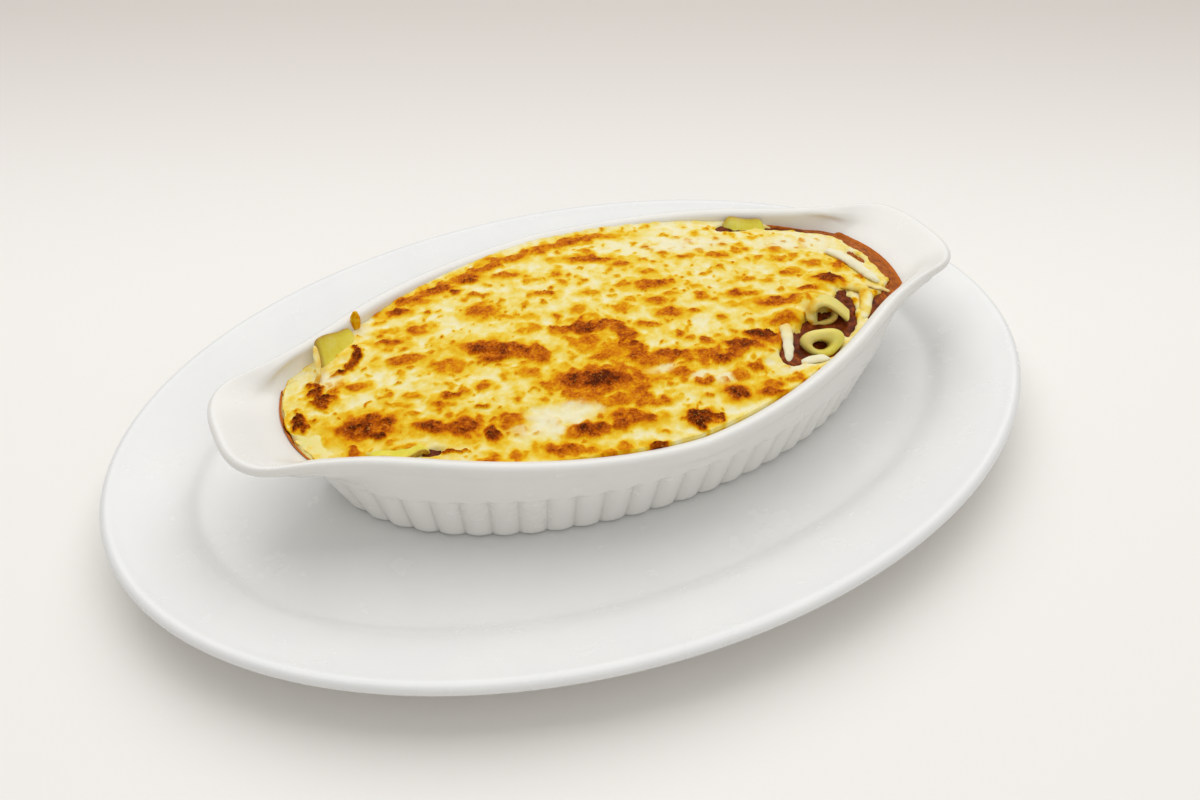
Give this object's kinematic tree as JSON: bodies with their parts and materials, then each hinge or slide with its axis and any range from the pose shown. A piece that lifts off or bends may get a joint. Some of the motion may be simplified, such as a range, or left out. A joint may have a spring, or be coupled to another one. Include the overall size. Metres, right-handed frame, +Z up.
{
  "type": "plate of lasagna",
  "caption": "Baked lasagna with a browned cheese top in an oval gratin dish with two ear handles, served on an oval plate.",
  "frame": {"origin": "middle of the plate's box, on the table under its foot ring", "axes": "+X along the plate's length towards the dish's right ear, +Y to the back, +Z up"},
  "size_m": [0.34, 0.245, 0.049],
  "materials": {
    "plate_glaze": "glossy white glazed ceramic",
    "dish_glaze": "glossy white glazed ceramic",
    "meat_sauce": "moist tomato and meat sauce",
    "pasta": "moist cooked egg pasta",
    "browned_cheese": "melted cheese with browned blisters"
  },
  "bodies": {
    "root": {"plate": "plate_glaze", "gratin_dish": "dish_glaze", "meat_sauce": "meat_sauce", "pasta_sheet_lower": "pasta", "pasta_sheet_upper": "pasta", "cheese_topping": "browned_cheese"}
  },
  "joints": []
}
